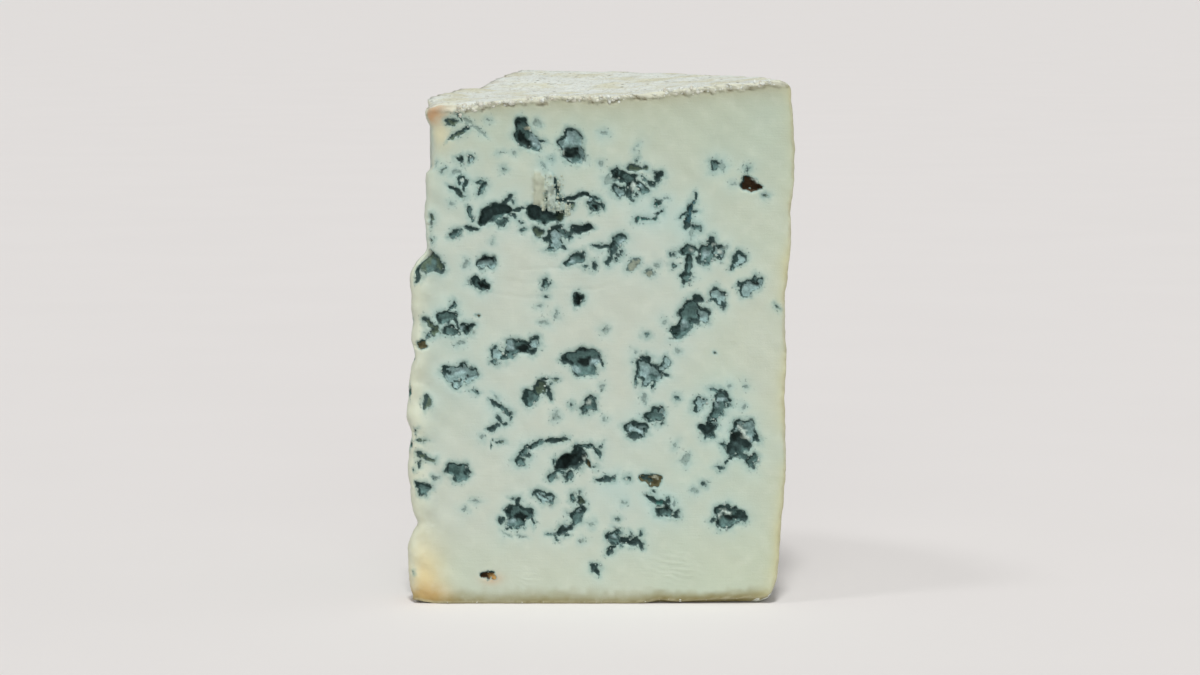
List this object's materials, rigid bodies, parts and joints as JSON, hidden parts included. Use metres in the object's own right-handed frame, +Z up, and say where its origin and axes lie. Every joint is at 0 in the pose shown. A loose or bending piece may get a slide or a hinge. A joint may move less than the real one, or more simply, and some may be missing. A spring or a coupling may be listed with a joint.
{
  "type": "blue cheese wedge",
  "caption": "Tall wedge cut from a drum-shaped wheel of blue cheese, with a dished top, a crumbly broken tip, a pale rind and mould pockets in its cut faces.",
  "frame": {"origin": "centre of the bounding box in plan, on the plane of the flat base", "axes": "+Z up, along the height of the wedge; the front cut face looks along -Y; the tip, which is the middle of the wheel, is at low X and low Y, and the curved rind is at high X"},
  "size_m": [0.111, 0.1076, 0.1513],
  "materials": {
    "paste": "moist satin cheese paste, pale ivory with a cool green-blue cast, blue-grey mould in its pockets",
    "rind": "dry, floury, bumpy off-white rind with grey-brown specks"
  },
  "bodies": {
    "root": {"cheese_wedge": "paste"}
  },
  "joints": []
}
